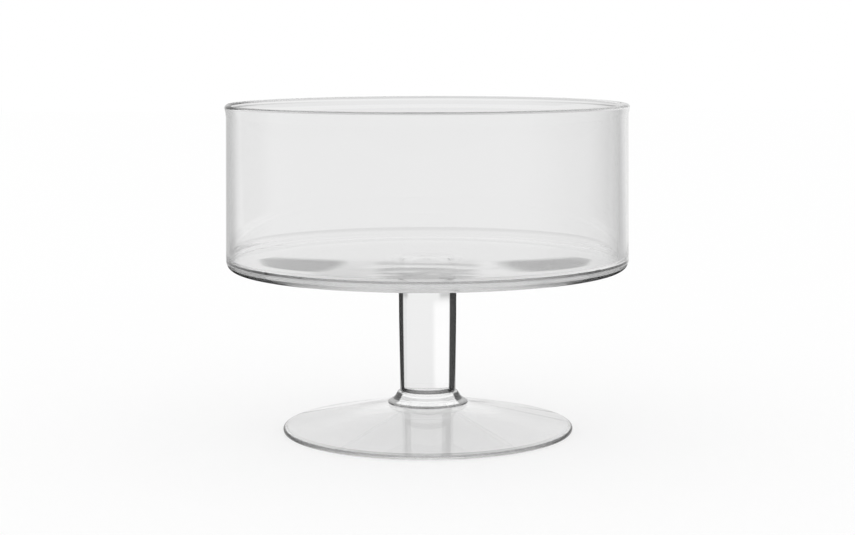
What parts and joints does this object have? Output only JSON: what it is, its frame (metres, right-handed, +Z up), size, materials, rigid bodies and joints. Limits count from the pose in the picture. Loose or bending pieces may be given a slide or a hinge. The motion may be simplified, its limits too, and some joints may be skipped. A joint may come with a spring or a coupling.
{
  "type": "footed salad bowl",
  "caption": "Clear glass salad bowl with straight cylindrical walls and a flat heavy floor, raised on a solid stem with a flared collar and a shallow cone foot.",
  "frame": {"origin": "centre of the foot's resting ring, on the table", "axes": "+Z up along the bowl's axis of rotation; X and Y lie in the table and are alike"},
  "size_m": [0.22, 0.22, 0.18],
  "materials": {
    "clear_glass": "clear colourless soda-lime glass, blown and fire polished, smooth and glossy"
  },
  "bodies": {
    "root": {"bowl": "clear_glass", "stem": "clear_glass", "collar": "clear_glass", "foot": "clear_glass"}
  },
  "joints": []
}
